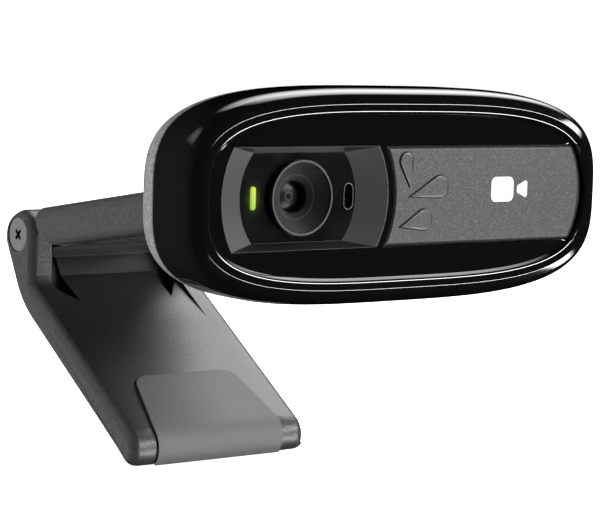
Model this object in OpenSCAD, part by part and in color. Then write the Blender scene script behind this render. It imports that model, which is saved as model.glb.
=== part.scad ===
// Clip-on webcam: an oval camera head on a neck that swivels and tilts, carried by the
// upper arm of a folding screen clip. The leg of the clip folds on a pin behind the arm.
// The origin is on the grip pad under the arm, where it rests on a screen's top edge.
// The lens looks along -Y and +Z is up. Sizes are in millimetres.

/* [Head] */
// Overall width of the head
head_w = 73.8; // [66:0.1:96]
// Overall height of the head
head_h = 29.9; // [28.5:0.1:38]
// How square the oval outline is
oval_power = 3.4; // [2.6:0.1:4]
// Depth from the face to the seam between the two shells
seam_depth = 8; // [7.8:0.1:9]
// Depth of the crowned back behind the seam
back_depth = 11.9; // [10.5:0.1:15]
// How far the bezel swells out past the edge of its face
swell = 2.3; // [1:0.1:3]
// Wall of both shells
shell_wall = 1.6; // [1.2:0.1:2.2]
// Thickness of the bezel behind its face
face_wall = 2.1; // [1.8:0.1:2.4]
// Depth of the dished face
dish = 0.5; // [0.2:0.1:0.8]
// Width of the raised lip round the face
lip = 1.1; // [0.6:0.1:2]
// Half height of the band that holds the lens bowl and the panel
band_h = 7; // [6:0.1:8]

/* [Lens and eye] */
// Lens axis from the middle of the head
lens_x = -17.1; // [-19:0.1:-15]
// Radius of the bowl round the lens
bowl_r = 14.1; // [13:0.1:15]
// Radius of the bowl's flat floor
bowl_floor_r = 9.7; // [9:0.1:11]
// Depth of the bowl's floor below the dished face
bowl_depth = 2; // [1.4:0.1:2.4]
// Outer radius of the lens hood
hood_r = 5.2; // [4.6:0.05:5.8]
// How far the hood stands above the bowl's floor
hood_proud = 1; // [0.4:0.1:1.6]
// Outer radius of the lens barrel
barrel_r = 3.4; // [3.2:0.05:3.8]
// Radius of the glass lenses
glass_r = 2.6; // [2.4:0.05:2.9]
// Light slot from the lens axis
light_x = -7.5; // [-8:0.1:-6.5]
// Width of the light slot
light_w = 0.9; // [0.6:0.1:1.4]
// Height of the light slot
light_h = 3.2; // [2:0.1:4]
// Microphone slot from the lens axis
mic_x = 8.5; // [7.6:0.1:8.6]
// Width of the microphone slot
mic_w = 1.4; // [0.8:0.1:1.6]
// Height of the microphone slot
mic_h = 3.4; // [2.4:0.1:4]

/* [Panel] */
// Thickness of the printed panel
panel_t = 1.2; // [0.8:0.1:1.4]
// Gap between the bowl's edge and the panel
panel_gap = 0.9; // [0.5:0.1:2]
// Distance from the panel's right end to the edge of the face
panel_end = 0.7; // [0.5:0.1:3]
// Height of the raised drops on the panel
drop_t = 0.25; // [0.1:0.05:0.4]
// Width of the inlaid camera sign
sign_w = 7; // [5:0.1:8]
// Depth of the inlaid sign
sign_t = 0.3; // [0.2:0.05:0.4]

/* [Clip] */
// Width of the clip
clip_w = 33; // [31:0.1:40]
// Distance from the head's face to the hinge axis
reach = 78; // [77:0.1:96]
// Height of the head's axis above the hinge axis
head_rise = 11.8; // [11:0.1:12.4]
// Upward slope of the arm towards the head, in degrees
arm_slope = 9.2; // [8:0.1:10]
// Arm's underside below the hinge axis
arm_under = 2.4; // [2.2:0.1:2.6]
// Thickness of the arm
arm_t = 6.2; // [6:0.1:7.4]
// Slope of the leg below the horizontal, in degrees
leg_slope = 33; // [28:0.5:38]
// Leg's front face behind the hinge axis
leg_front = 4.2; // [4.15:0.05:5]
// Thickness of the leg
leg_t = 4.2; // [3.8:0.1:5]
// Length of the leg from the hinge axis
leg_len = 46.2; // [42:0.1:47]
// Width of each ear of the leg
ear_w = 4.2; // [3.6:0.1:5]
// Width of the slots beside the leg's tongue
slot_w = 3.5; // [2.4:0.1:4]
// End of those slots beside the tongue, from the hinge axis
slot_to = 12; // [10:0.5:14]
// How much sooner they end beside the ears
slot_slant = 5; // [2:0.5:6]
// Wall left behind those slots
slot_wall = 1; // [0.8:0.1:1.4]
// Radius of the ears
ear_r = 4; // [3.9:0.05:4.1]
// Radius of the bend behind the ears
bend_r = 15.5; // [12:0.5:18]
// Radius of the hinge screw's head
cap_r = 2.75; // [2.4:0.05:2.9]
// Radius of the hinge pin
pin_r = 1.4; // [1.2:0.05:1.6]
// Distance from the hinge to the middle of the grip pad, along the arm
rest_at = 24; // [22:0.5:26]

/* [Pads] */
// Rubber standing proud of the plastic
pad_proud = 0.35; // [0.2:0.05:0.5]
// Rubber sunk into the plastic
pad_sunk = 0.7; // [0.5:0.05:0.9]
// Start of the foot pad, from the hinge axis
foot_from = 31.3; // [28:0.1:33]
// Half width of the foot pad at its start
foot_top = 9.2; // [8:0.1:11]
// Half width of the foot pad at the nose
foot_end = 11.7; // [11.4:0.1:13]

/* [Neck] */
// Swivel axis from the head's face
swivel_at = 35; // [34.5:0.1:36]
// Tilt axis from the head's face
tilt_at = 24; // [23.4:0.1:24.4]
// Width of the neck between the lugs
neck_w = 7; // [6:0.1:9]
// Width of each lug on the rear shell
lug_w = 2.6; // [2:0.1:3.2]
// Radius of the neck's eye and of the lugs
eye_r = 3; // [2.7:0.05:3.2]
// Radius of the tilt pin
tilt_pin_r = 1.2; // [1:0.05:1.4]
// Radius of the neck's post in the arm
post_r = 2.4; // [2.2:0.05:2.8]

/* [Clearances] */
// Radial clearance of pins that turn
running = 0.05; // [0.02:0.01:0.08]
// Side clearance between turning pieces
side_gap = 0.3; // [0.2:0.05:0.4]
// Clearance round pieces that drop in
drop_in = 0.1; // [0.05:0.01:0.15]
// Clearance between the leg's tongue and the arm's knuckle
knuckle_room = 0.15; // [0.1:0.05:0.25]
// Clearance between the neck's round base and the arm
base_gap = 0.15; // [0.1:0.05:0.3]

/* [Hidden] */
$fn = 64;

face_a = head_w / 2 - swell;
edge_r = 7.2;
edge_turn = 50;
seam_y = seam_depth;
crown_y = seam_y + edge_r * sin(edge_turn);
crown_inset = edge_r * (1 - cos(edge_turn));
back_y = seam_y + back_depth;
wall_back = dish + face_wall;
panel_y = dish;
bowl_y = dish + bowl_depth;
bowl_back = max(bowl_y, wall_back) + 1.2;
hood_y = bowl_y - hood_proud;
hood_back = hood_y + 3.1;
board_y = seam_y + 1.6;
board_t = 1;
board_back = board_y + board_t;
board_a = head_w / 2 - 8.9;
board_b = head_h / 2 - 5.5;
post_x = head_w / 2 - 5.4;
case_seat = seam_y + 3.4;
case_post_r = 2.4;
post_foot = wall_back - 0.4;
grommet_x = 18;
cable_r = 1.75;
grommet_seat = back_y - 3;

// Hinge axis in the frame of the grip pad
rest_drop = arm_under + pad_proud;
hinge_y = rest_at * cos(arm_slope) + rest_drop * sin(arm_slope);
hinge_z = rest_drop * cos(arm_slope) - rest_at * sin(arm_slope);
face_y = hinge_y - reach;
head_z = hinge_z + head_rise;

arm_top = arm_t - arm_under;
swivel_s = (reach - swivel_at) / cos(arm_slope);
arm_end_r = 8;
arm_tip = swivel_s + arm_end_r;
washer_t = 0.5;
washer_r = 3.2;
knuckle_w = clip_w - 2 * ear_w - 2 * (side_gap + washer_t + drop_in);
knuckle_r = ear_r - 0.3;
cap_seat = clip_w / 2 - 1.4;
cap_t = 1.2;
grip_w = 24;
grip_l = 18;
base_r = 6.4;
base_t = 2.2;
base_z = arm_top + base_gap;
far = 20;
ear_in = clip_w / 2 - ear_w;
leg_back = leg_front + leg_t;
bend_turn = 28;
nose_r = 3.6;
nose_u = leg_len - nose_r;
tilt_y = tilt_at;
screw_r = 0.85;

// Points of an arc in a flat outline
function arc(c, r, from, to, n) =
    [for (i = [0 : n]) let (t = from + (to - from) * i / n) [c[0] + r * cos(t), c[1] + r * sin(t)]];

// Oval of the head: a superellipse of half width a and half height b
function oval(a, b, n = 64) =
    [for (i = [0 : n - 1]) let (t = 360 * i / n, c = cos(t), s = sin(t))
        [a * sign(c) * pow(abs(c), 2 / oval_power), b * sign(s) * pow(abs(s), 2 / oval_power)]];

// Solid through a row of ovals, each given as [depth, half width, half height]
module loft(rings, n = 64) {
    points = [for (r = rings) for (p = oval(r[1], r[2], n)) [p[0], r[0], p[1]]];
    last = len(rings) - 1;
    sides = [for (k = [0 : last - 1]) for (i = [0 : n - 1]) let (j = (i + 1) % n)
        each [[k * n + i, k * n + j, (k + 1) * n + j], [k * n + i, (k + 1) * n + j, (k + 1) * n + i]]];
    front = [for (i = [n - 1 : -1 : 0]) i];
    rear = [for (i = [0 : n - 1]) last * n + i];
    polyhedron(points, concat([front], sides, [rear]), convexity = 4);
}

// Oval ring inset from the head's overall size
function inset_ring(y, inset) = [y, head_w / 2 - inset, head_h / 2 - inset];

// Oval ring on the crowned back, s from 1 at its edge to 0 at its middle
function crown_ring(s, wall) = [
    crown_y + (back_y - crown_y) * (1 - s * s) - wall,
    s * (head_w / 2 - crown_inset - wall),
    s * (head_h / 2 - crown_inset - wall)
];

function edge_rings(wall, steps = 3) =
    [for (i = [1 : steps]) let (t = edge_turn * i / steps)
        inset_ring(seam_y + (edge_r - wall) * sin(t), wall + (edge_r - wall) * (1 - cos(t)))];

// Places a piece of the head, whose own origin is the middle of the face
module on_head() {
    translate([0, face_y, head_z]) children();
}

// Turns a shape drawn along +Z to run along +Y
module along_y() {
    rotate([-90, 0, 0]) children();
}

// Cylinder along Y from y0 to y1 at [x, z]
module rod_y(r, y0, y1, x = 0, z = 0) {
    translate([x, y0, z]) along_y() cylinder(r = r, h = y1 - y0);
}

// Flat outline in X and Z, raised from y0 to y1
module plate_y(y0, y1) {
    translate([0, y1, 0]) rotate([90, 0, 0]) linear_extrude(y1 - y0) children();
}

// Turned piece round the lens axis, from an outline of [radius, depth]
module turned(outline) {
    translate([lens_x, 0, 0]) along_y() rotate_extrude() polygon(outline);
}

// Slot with round ends, standing upright
module slot_2d(x, w, h) {
    translate([x, -(h - w) / 2]) circle(d = w);
    translate([x, (h - w) / 2]) circle(d = w);
    translate([x - w / 2, -(h - w) / 2]) square([w, h - w]);
}

// Bowl outline: a circle cut off flat above and below
module bowl_2d(grow) {
    intersection() {
        translate([lens_x, 0]) circle(r = bowl_r + grow);
        translate([lens_x - 20, -band_h - grow]) square([40, 2 * (band_h + grow)]);
    }
}

// Panel outline: hollow end beside the bowl, round end at the right of the face
module panel_2d(shrink) {
    right = face_a - panel_end - shrink;
    half = band_h - shrink;
    end_r = 12.8;
    intersection() {
        difference() {
            translate([lens_x, -half]) square([60, 2 * half]);
            translate([lens_x, 0]) circle(r = bowl_r + panel_gap + shrink);
        }
        union() {
            translate([right - end_r, 0]) circle(r = end_r);
            translate([lens_x, -half]) square([right - end_r - lens_x + 6, 2 * half]);
        }
    }
}

module front_bezel() {
    outer = [
        inset_ring(0, swell),
        inset_ring(0.5, swell * 0.42),
        inset_ring(1.2, swell * 0.2),
        inset_ring(2.6, swell * 0.05),
        inset_ring(4, 0),
        inset_ring(seam_y, 0)
    ];
    dished = [inset_ring(-0.5, swell + lip), inset_ring(0.1, swell + lip + 0.1), inset_ring(dish, swell + lip + 1)];
    cavity = [inset_ring(wall_back, swell + shell_wall), inset_ring(4.4, shell_wall),
        inset_ring(seam_y + 1, shell_wall)];
    color([0.05, 0.05, 0.055]) on_head() {
        difference() {
            loft(outer);
            loft(dished);
            loft(cavity);
            plate_y(-1, wall_back + 1) bowl_2d(0);
            plate_y(panel_y, panel_y + panel_t) panel_2d(0);
        }
        for (x = [-post_x, post_x]) screw_post(x, 0, case_post_r, seam_y, screw_r);
        for (p = board_posts()) screw_post(p[0], p[1], 1.8, board_y, 0.7);
    }
}

function board_posts() = [[1.4, 6.2], [24, 6.2], [24, -6.2]];

// Hollow post on the back of the bezel's wall
module screw_post(x, z, r, top, hole) {
    difference() {
        rod_y(r, post_foot, top, x, z);
        rod_y(hole, wall_back + 0.4, top + 1, x, z);
    }
}

module rear_shell() {
    outer = concat([inset_ring(seam_y, 0)], edge_rings(0), [for (s = [0.85, 0.68, 0.5, 0.3, 0.1]) crown_ring(s, 0)]);
    inner = concat([inset_ring(seam_y - 1, shell_wall)], [inset_ring(seam_y, shell_wall)],
        edge_rings(shell_wall), [for (s = [0.85, 0.68, 0.5, 0.3, 0.1]) crown_ring(s, shell_wall)]);
    color([0.24, 0.24, 0.25]) on_head() difference() {
        union() {
            difference() {
                loft(outer);
                loft(inner);
            }
            for (x = [-post_x, post_x]) rod_y(2.6, seam_y, case_seat + 0.8, x, 0);
            rod_y(3.6, grommet_seat - 2.4, grommet_seat, grommet_x, 0);
            for (side = [-1, 1]) tilt_lug(side);
        }
        for (x = [-post_x, post_x]) {
            rod_y(1.1, seam_y - 1, case_seat + 1, x, 0);
            rod_y(1.9, case_seat, back_y, x, 0);
        }
        rod_y(2.4, grommet_seat - 5, back_y, grommet_x, 0);
        rod_y(3.5, grommet_seat, back_y + 2, grommet_x, 0);
        translate([-12, tilt_y, 0]) rotate([0, 90, 0]) cylinder(r = tilt_pin_r, h = 24);
    }
}

// One of the two lugs on the back that hold the tilt pin
module tilt_lug(side) {
    x0 = neck_w / 2 + side_gap;
    xs = side > 0 ? x0 : -x0 - lug_w;
    root = back_y - shell_wall;
    translate([xs, tilt_y, 0]) rotate([0, 90, 0]) cylinder(r = eye_r, h = lug_w);
    translate([xs, root, -eye_r]) cube([lug_w, tilt_y - root, 2 * eye_r]);
}

module face_panel() {
    color([0.19, 0.19, 0.2]) on_head() difference() {
        union() {
            plate_y(panel_y + 0.05, panel_y + panel_t) panel_2d(drop_in);
            plate_y(panel_y + 0.05 - drop_t, panel_y + 0.2) {
                drop_2d(0.2, 3.6, 108, 5, 1.5);
                drop_2d(4.1, 0.9, 22, 7.2, 1.75);
                drop_2d(1.9, -3.6, 18, 6, 1.7);
            }
        }
        plate_y(panel_y - 1, panel_y + 0.05 + sign_t) sign_2d(0);
    }
}

// Flat drop, round at one end and pointed at the other
module drop_2d(x, z, turn, length, r) {
    translate([x, z]) rotate(turn)
        polygon(concat(arc([length / 2 - r, 0], r, -110, 110, 16), [[-length / 2, 0]]));
}

// Plain camera sign: a body and a lens cone
module sign_2d(shrink) {
    body_w = sign_w * 0.62;
    body_h = sign_w * 0.52;
    translate([head_w / 2 - 17.6, 0.6]) {
        translate([-sign_w / 2 + shrink, -body_h / 2 + shrink])
            square([body_w - 2 * shrink, body_h - 2 * shrink]);
        polygon([
            [-sign_w / 2 + body_w + 0.6 + shrink, -0.5 + shrink / 2],
            [sign_w / 2 - shrink, -body_h / 2 + 0.4 + 1.5 * shrink],
            [sign_w / 2 - shrink, body_h / 2 - 0.4 - 1.5 * shrink],
            [-sign_w / 2 + body_w + 0.6 + shrink, 0.5 - shrink / 2]
        ]);
    }
}

module panel_sign() {
    color([0.9, 0.9, 0.9]) on_head()
        plate_y(panel_y + 0.03, panel_y + 0.05 + sign_t) sign_2d(0.03);
}

module lens_bowl() {
    color([0.1, 0.1, 0.11]) on_head() difference() {
        union() {
            plate_y(panel_y, bowl_back) bowl_2d(-drop_in);
            plate_y(wall_back, bowl_back) bowl_2d(0.8);
        }
        translate([lens_x, bowl_y, 0]) rotate([90, 0, 0])
            cylinder(r1 = bowl_floor_r, r2 = bowl_r + 0.4, h = bowl_depth + 0.1);
        rod_y(hood_r + drop_in, bowl_y - 1, bowl_back + 1, lens_x, 0);
        plate_y(bowl_y - 1, bowl_back + 1) slot_2d(lens_x + light_x, light_w, light_h);
        plate_y(bowl_y - 1, bowl_y + 0.5) slot_2d(lens_x + mic_x, mic_w, mic_h);
        rod_y(0.4, bowl_y, bowl_back + 1, lens_x + mic_x, 0);
        rod_y(case_post_r + drop_in, post_foot - drop_in, bowl_back + 1, -post_x, 0);
    }
}

module lens_hood() {
    color([0.06, 0.06, 0.065]) on_head() turned([
        [hood_r, hood_y + 0.25], [hood_r - 0.2, hood_y], [hood_r - 0.4, hood_y + 0.05],
        [3.1, hood_y + 1.3], [2.95, hood_y + 1.9], [glass_r - 0.3, hood_y + 2.5],
        [glass_r - 0.3, hood_back], [hood_r, hood_back]
    ]);
}

module lens_barrel() {
    y1 = board_y - 1.6;
    color([0.12, 0.12, 0.13]) on_head() turned([
        [glass_r + running, hood_back], [barrel_r, hood_back], [barrel_r, y1], [1.8, y1],
        [1.8, y1 - 0.5], [glass_r + running, y1 - 0.5]
    ]);
}

// Round glass with a domed front, of radius r from y0 to y1
module lens_element(y0, y1, dome) {
    r = glass_r;
    n = 8;
    turned(concat([[0, y1], [0, y0]], [for (i = [1 : n]) [r * i / n, y0 + dome * pow(i / n, 2)]], [[r, y1]]));
}

module front_lens() {
    color([0.25, 0.28, 0.4, 0.6]) on_head() lens_element(hood_back + 0.05, hood_back + 1.1, 0.5);
}

module rear_lens() {
    color([0.4, 0.45, 0.5, 0.6]) on_head() lens_element(hood_back + 1.4, hood_back + 2.3, 0.35);
}

module infrared_filter() {
    color([0.35, 0.6, 0.62, 0.6]) on_head()
        translate([lens_x - 2.4, board_y - 1.5, -2.4]) cube([4.8, 0.3, 4.8]);
}

module lens_holder() {
    half = 5;
    color([0.09, 0.09, 0.1]) on_head() difference() {
        translate([lens_x - half, hood_back + 0.6, -half]) cube([2 * half, board_y - hood_back - 0.6, 2 * half]);
        rod_y(barrel_r + running, hood_back, board_y - 1.59, lens_x, 0);
        translate([lens_x - 3.4, board_y - 1.2, -3.4]) cube([6.8, 2, 6.8]);
        translate([lens_x - 2.45, board_y - 1.6, -2.45]) cube([4.9, 1, 4.9]);
    }
}

module image_sensor() {
    color([0.16, 0.2, 0.24]) on_head()
        translate([lens_x - 3, board_y - 0.8, -2.6]) cube([6, 0.8, 5.2]);
}

module circuit_board() {
    r = 3;
    color([0.05, 0.3, 0.14]) on_head() difference() {
        plate_y(board_y, board_back) {
            translate([-board_a + r, -board_b]) square([2 * (board_a - r), 2 * board_b]);
            translate([-board_a, -board_b + r]) square([2 * board_a, 2 * (board_b - r)]);
            for (x = [-1, 1], z = [-1, 1])
                translate([x * (board_a - r), z * (board_b - r)]) circle(r = r);
        }
        for (p = board_posts()) rod_y(0.9, board_y - 1, board_back + 1, p[0], p[1]);
    }
}

module control_chip() {
    color([0.08, 0.08, 0.09]) on_head() translate([7, board_back, -4]) cube([8, 0.9, 8]);
}

module cable_connector() {
    color([0.85, 0.83, 0.76]) on_head() difference() {
        translate([-9.5, board_back, -3]) cube([6, 2.6, 6]);
        translate([-9, board_back + 0.8, -2.4]) cube([5, 2.6, 4.8]);
    }
}

module status_led() {
    x = lens_x + light_x;
    color([0.75, 0.95, 0.4]) on_head() translate([x - 0.5, board_y - 0.8, -0.9]) cube([1, 0.8, 1.8]);
}

module light_pipe() {
    color([0.7, 0.95, 0.3]) on_head() plate_y(bowl_y - 0.15, board_y - 0.9)
        slot_2d(lens_x + light_x, light_w - drop_in, light_h - drop_in);
}

module microphone() {
    color([0.7, 0.7, 0.68]) on_head() rod_y(2, board_y - 2, board_y, lens_x + mic_x, 0);
}

module microphone_gasket() {
    color([0.12, 0.12, 0.12]) on_head() difference() {
        rod_y(2.3, bowl_back, board_y - 2, lens_x + mic_x, 0);
        rod_y(1, bowl_back - 1, board_y, lens_x + mic_x, 0);
    }
}

// Screw along Y: head from y0 to y0 + head_t, shank towards the face
module screw_y(x, z, y0, shank_end, shank_r, head_r, head_t) {
    difference() {
        union() {
            rod_y(head_r, y0, y0 + head_t, x, z);
            rod_y(shank_r, shank_end, y0 + 0.1, x, z);
        }
        for (turn = [0, 90]) translate([x, y0 + head_t, z]) rotate([0, turn, 0])
            cube([head_r * 1.3, head_t, 0.4], center = true);
    }
}

module board_screws() {
    color([0.7, 0.7, 0.72]) on_head() for (p = board_posts())
        screw_y(p[0], p[1], board_back, wall_back + 1.5, 0.65, 1.5, 0.9);
}

module case_screws() {
    color([0.2, 0.2, 0.21]) on_head() for (x = [-post_x, post_x])
        screw_y(x, 0, case_seat, wall_back + 1.2, screw_r - 0.05, 1.75, 1.1);
}

module cable_grommet() {
    color([0.1, 0.1, 0.1]) on_head() difference() {
        union() {
            rod_y(3.3, grommet_seat, grommet_seat + 1.8, grommet_x, 0);
            rod_y(2.35, grommet_seat - 3.4, grommet_seat + 0.1, grommet_x, 0);
            rod_y(3, grommet_seat - 3.4, grommet_seat - 2.4, grommet_x, 0);
        }
        rod_y(cable_r, grommet_seat - 4, grommet_seat + 3, grommet_x, 0);
    }
}

module tilt_pin() {
    half = neck_w / 2 + side_gap + lug_w;
    color([0.7, 0.7, 0.72]) on_head() translate([-half, tilt_y, 0]) rotate([0, 90, 0])
        cylinder(r = tilt_pin_r, h = 2 * half);
}

// Places a piece in the arm's frame: X across, Y back along the arm, Z square to it
module on_arm() {
    translate([0, hinge_y, hinge_z]) rotate([-arm_slope, 0, 0]) children();
}

// Places a piece in the leg's frame: X across, Y back up the leg, Z square to it
module on_leg() {
    translate([0, hinge_y, hinge_z]) rotate([leg_slope, 0, 0]) children();
}

// Flat outline in Y and Z, raised along X over the width w about x
module slice(w, x = 0) {
    translate([x - w / 2, 0, 0]) rotate([90, 0, 90]) linear_extrude(w) children();
}

module rod_x(r, x0, x1) {
    translate([x0, 0, 0]) rotate([0, 90, 0]) cylinder(r = r, h = x1 - x0);
}

module arm() {
    lip_drop = 4;
    half = clip_w / 2;
    color([0.17, 0.17, 0.18]) on_arm() difference() {
        union() {
            intersection() {
                slice(clip_w) arm_side_2d();
                translate([0, 0, -far]) linear_extrude(2 * far) arm_plan_2d();
            }
            rod_x(knuckle_r, -knuckle_w / 2, knuckle_w / 2);
            slice(knuckle_w) polygon([[0, -arm_under], [0, knuckle_r], [-11, arm_top], [-11, -arm_under]]);
            intersection() {
                translate([-7, -arm_tip, -arm_under - lip_drop]) cube([14, 2.4, lip_drop + 1]);
                translate([0, -swivel_s, -far]) cylinder(r = arm_end_r, h = 2 * far);
            }
        }
        rod_x(pin_r + running, -half, half);
        translate([0, -swivel_s, -far]) cylinder(r = post_r + running, h = 2 * far);
        translate([0, -swivel_s, -far]) cylinder(r = 4, h = far + 0.4);
        translate([-grip_w / 2, -rest_at - grip_l / 2, -arm_under - 1]) cube([grip_w, grip_l, 1 + pad_sunk]);
    }
}

// Side of the arm, cut back under the hinge so that the leg can fold up
module arm_side_2d() {
    polygon(concat(
        [[-10, -arm_under], [-6.3, 0.3], [-5.6, arm_top - 1.2]],
        arc([-6.5, arm_top - 1], 1, 12, 90, 5),
        [[-arm_tip - 1, arm_top], [-arm_tip - 1, -arm_under]]
    ));
}

// Plan of the arm: full width, then drawn in to a round end under the neck
module arm_plan_2d() {
    half = clip_w / 2;
    shoulder = reach - 40;
    polygon([
        [-half, 0], [-half, -shoulder], [-arm_end_r, -swivel_s - 1],
        [arm_end_r, -swivel_s - 1], [half, -shoulder], [half, 0]
    ]);
    translate([0, -swivel_s]) circle(r = arm_end_r);
}

module grip_pad() {
    gap = drop_in;
    color([0.1, 0.1, 0.1]) on_arm()
        translate([-grip_w / 2 + gap, -rest_at - grip_l / 2 + gap, -arm_under - pad_proud])
            cube([grip_w - 2 * gap, grip_l - 2 * gap, pad_sunk + pad_proud]);
}

// Centre of the bend behind the ears, which touches both the ear and the leg's back
function bend_centre() = let (
    v = leg_back - bend_r,
    u = ((ear_r - bend_r) - v * cos(bend_turn)) / sin(bend_turn)
) [u, -v];

// Nose of the foot from its front round to its back, grown outwards by g
function nose_arc(g) = let (
    r = nose_r + g,
    last = 180 + asin((leg_t - nose_r) / r)
) arc([-nose_u, -leg_front - nose_r], r, 90, last, 10);

// Side of the leg with its ears, in the leg's frame: Y towards the hinge, Z to its front
module leg_side_2d() {
    ear_foot = -(ear_r + leg_front * sin(leg_slope)) / cos(leg_slope);
    polygon(concat(
        arc(bend_centre(), bend_r, -90, bend_turn - 90, 8),
        arc([0, 0], ear_r, -56, 180 - leg_slope, 24),
        [[ear_foot, -leg_front]],
        nose_arc(0)
    ));
}

// Side of the foot, grown outwards by g at its front and nose and by below at its back
module foot_2d(g, below = 0) {
    nose = nose_arc(g);
    polygon(concat(
        [[-foot_from, -leg_front + g]], nose,
        [[nose[len(nose) - 1][0], -leg_back - below], [-foot_from, -leg_back - below]]
    ));
}

module leg() {
    color([0.17, 0.17, 0.18]) on_leg() difference() {
        slice(clip_w) leg_side_2d();
        slice(2 * ear_in) tongue_cut_2d();
        rod_x(ear_r + knuckle_room, -ear_in, ear_in);
        for (side = [-1, 1]) tongue_slot(side);
        foot_wrap(1);
        rod_x(pin_r, -clip_w, clip_w);
        for (side = [-1, 1]) scale([side, 1, 1]) rod_x(cap_r + drop_in, cap_seat, clip_w);
    }
}

// Space in front of the tongue, which falls back from the leg's face towards the hinge
module tongue_cut_2d() {
    fall = 1;
    hook = 0.9 * ear_r;
    polygon([
        [-slot_to - 6, -leg_front], [-ear_r - 0.6, -leg_front - fall], [-0.3 * ear_r, -hook], [ear_r * 2, -hook],
        [ear_r * 2, ear_r * 3], [-foot_from, ear_r * 3], [-foot_from, -leg_front]
    ]);
}

// Blind slot between the tongue and one ear, open at the front, with a slanted end
module tongue_slot(side) {
    intersection() {
        slice(clip_w) slot_side_2d();
        translate([0, 0, -far]) linear_extrude(2 * far) polygon([
            [side * ear_in, far], [side * (ear_in - slot_w), far],
            [side * (ear_in - slot_w), -slot_to], [side * ear_in, -slot_to + slot_slant]
        ]);
    }
}

// Side of those slots, in front of the wall that follows the leg's back
module slot_side_2d() {
    inner = arc(bend_centre(), bend_r - slot_wall, -90, bend_turn - 90, 8);
    up = inner[len(inner) - 1] + 1.5 * ear_r * [cos(bend_turn), sin(bend_turn)];
    polygon(concat(inner, [
        up, [2 * ear_r, up[1]], [2 * ear_r, 3 * ear_r],
        [-slot_to - 1, 3 * ear_r], [-slot_to - 1, slot_wall - leg_back]
    ]));
}

// Rubber that covers the front of the foot and wraps over its nose, down to below its back
module foot_wrap(below = 0) {
    intersection() {
        difference() {
            slice(clip_w) foot_2d(pad_proud, below);
            slice(clip_w + 2) foot_2d(-pad_sunk, below + 1);
        }
        translate([0, 0, -far]) linear_extrude(2 * far) foot_plan_2d();
    }
}

module foot_plan_2d() {
    r = 1.6;
    polygon(concat(
        arc([foot_top - r, -foot_from - r], r, 0, 90, 5),
        arc([-foot_top + r, -foot_from - r], r, 90, 180, 5),
        [[-foot_end, -leg_len + 3], [-foot_end, -leg_len - 5], [foot_end, -leg_len - 5], [foot_end, -leg_len + 3]]
    ));
}

module foot_pad() {
    color([0.26, 0.26, 0.27]) on_leg() foot_wrap();
}

module hinge_pin() {
    color([0.7, 0.7, 0.72]) on_leg() difference() {
        rod_x(pin_r, -cap_seat, cap_seat);
        for (side = [-1, 1]) scale([side, 1, 1]) rod_x(0.8, cap_seat - 4, cap_seat + 1);
    }
}

module hinge_screws() {
    color([0.13, 0.13, 0.14]) on_leg() for (side = [-1, 1]) scale([side, 1, 1]) difference() {
        union() {
            rod_x(cap_r, cap_seat, cap_seat + cap_t);
            rod_x(0.75, cap_seat - 3.5, cap_seat + 0.1);
        }
        for (turn = [0, 90]) translate([cap_seat + cap_t, 0, 0]) rotate([turn, 0, 0])
            cube([cap_t, 1.6, 0.35], center = true);
    }
}

module friction_washers() {
    x0 = knuckle_w / 2 + side_gap;
    color([0.75, 0.72, 0.6]) on_leg() for (side = [-1, 1]) scale([side, 1, 1]) difference() {
        rod_x(washer_r, x0, x0 + washer_t);
        rod_x(pin_r + running, x0 - 1, x0 + 1);
    }
}

module neck() {
    color([0.14, 0.14, 0.15]) difference() {
        union() {
            on_arm() {
                translate([0, -swivel_s, base_z]) cylinder(r = base_r, h = base_t);
                translate([0, -swivel_s, 0.6]) cylinder(r = post_r, h = base_z);
            }
            on_head() {
                translate([-neck_w / 2, tilt_y, 0]) rotate([0, 90, 0]) cylinder(r = eye_r, h = neck_w);
            }
            neck_web();
        }
        on_arm() translate([0, -swivel_s, 0]) cylinder(r = screw_r, h = 6);
        on_head() translate([-20, tilt_y, 0]) rotate([0, 90, 0])
            cylinder(r = tilt_pin_r + running, h = 40);
    }
}

// Web between the neck's round base and its eye
module neck_web() {
    eye = [face_y + tilt_y, head_z];
    c = cos(arm_slope);
    s = sin(arm_slope);
    at = function(back, up) [hinge_y + back * c + up * s, hinge_z - back * s + up * c];
    slice(neck_w) polygon([
        eye + eye_r * [0, 1],
        eye + eye_r * [0, -1],
        at(-arm_tip - side_gap, base_z + 0.2),
        at(-swivel_s + 3, base_z + 0.2),
        at(-swivel_s + 3, base_z + base_t)
    ]);
}

module swivel_washer() {
    color([0.75, 0.72, 0.6]) on_arm() translate([0, -swivel_s, 0]) difference() {
        translate([0, 0, -0.25]) cylinder(r = 3.6, h = 0.5);
        translate([0, 0, -1]) cylinder(r = screw_r + running, h = 3);
    }
}

module swivel_screw() {
    color([0.7, 0.7, 0.72]) on_arm() translate([0, -swivel_s, 0]) difference() {
        union() {
            translate([0, 0, -1.5]) cylinder(r = 2.4, h = 1.2);
            translate([0, 0, -0.4]) cylinder(r = screw_r - 0.05, h = 5);
        }
        for (turn = [0, 90]) rotate(turn) translate([0, 0, -1.5]) cube([3, 0.5, 1.2], center = true);
    }
}

front_bezel();
rear_shell();
face_panel();
panel_sign();
lens_bowl();
lens_hood();
lens_barrel();
front_lens();
rear_lens();
infrared_filter();
lens_holder();
image_sensor();
circuit_board();
control_chip();
cable_connector();
status_led();
light_pipe();
microphone();
microphone_gasket();
board_screws();
case_screws();
cable_grommet();
tilt_pin();
neck();
swivel_screw();
swivel_washer();
arm();
grip_pad();
leg();
foot_pad();
hinge_pin();
hinge_screws();
friction_washers();
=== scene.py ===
from math import acos, asin, atan2, copysign, cos, degrees, hypot, pi, radians, sin, sqrt, tan

import bmesh
import bpy
from mathutils import Matrix, Vector


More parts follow.
